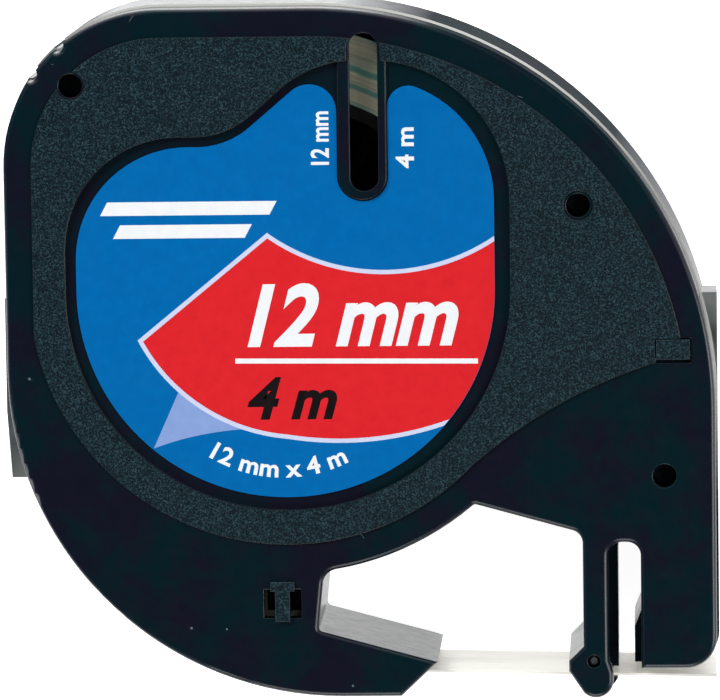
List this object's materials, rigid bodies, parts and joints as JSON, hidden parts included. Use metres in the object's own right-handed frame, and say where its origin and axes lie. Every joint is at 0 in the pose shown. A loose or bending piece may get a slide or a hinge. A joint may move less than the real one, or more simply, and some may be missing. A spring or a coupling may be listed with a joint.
{
  "type": "label tape cassette",
  "caption": "Flat D-shaped cassette of adhesive label tape: a reel in a snap-together casing feeds the tape along an arm, past a print-head gap and through a cutter slot.",
  "frame": {"origin": "on the axis of the tape reel, at the flat back of the casing", "axes": "+Z through the thickness towards the label, +X the way the tape leaves the casing, +Y away from the tape"},
  "size_m": [0.0684, 0.0668, 0.018],
  "materials": {
    "casing_plastic": "blue-black moulding, glossy with a grained panel",
    "printed_label": "printed satin film",
    "reel_plastic": "moulded",
    "label_tape": "thin polyester film",
    "tape_liner": "silicone paper",
    "felt": "pressed wool felt",
    "spring_steel": "tempered",
    "roller_plastic": "natural acetal",
    "pin_steel": "ground"
  },
  "bodies": {
    "casing": {"front_shell": "casing_plastic", "rear_shell": "casing_plastic", "face_label": "printed_label", "reel_felt": "felt", "reel_spring": "spring_steel", "bridge_film": "label_tape", "bridge_liner": "tape_liner", "inlet_roller_pin": "pin_steel", "exit_roller_pin": "pin_steel"},
    "reel": {"reel_core": "reel_plastic", "tape_roll": "label_tape"},
    "free_tape": {"tape_film": "label_tape", "tape_liner": "tape_liner"},
    "inlet_roller": {"inlet_roller": "roller_plastic"},
    "exit_roller": {"exit_roller": "roller_plastic"}
  },
  "joints": [
    {"name": "reel_spin", "type": "hinge", "parent": "casing", "child": "reel", "pos_m": [0, 0, 0], "axis": [0, 0, 1], "range_deg": [0, 18.3]},
    {"name": "tape_feed", "type": "slide", "parent": "casing", "child": "free_tape", "axis": [0.9997, -0.0227, 0], "range_m": [0, 0.008]},
    {"name": "inlet_roller_spin", "type": "hinge", "parent": "casing", "child": "inlet_roller", "pos_m": [-0.0002, -0.03503, 0], "axis": [0, 0, 1], "range_deg": [0, 255]},
    {"name": "exit_roller_spin", "type": "hinge", "parent": "casing", "child": "exit_roller", "pos_m": [0.0291, -0.0361, 0], "axis": [0, 0, 1], "range_deg": [0, 340]}
  ],
  "couplings": [
    {"joint": "tape_feed", "follows": "reel_spin", "m_per_rad": 0.02498},
    {"joint": "inlet_roller_spin", "follows": "reel_spin", "ratio": 13.88},
    {"joint": "exit_roller_spin", "follows": "reel_spin", "ratio": 18.507}
  ]
}
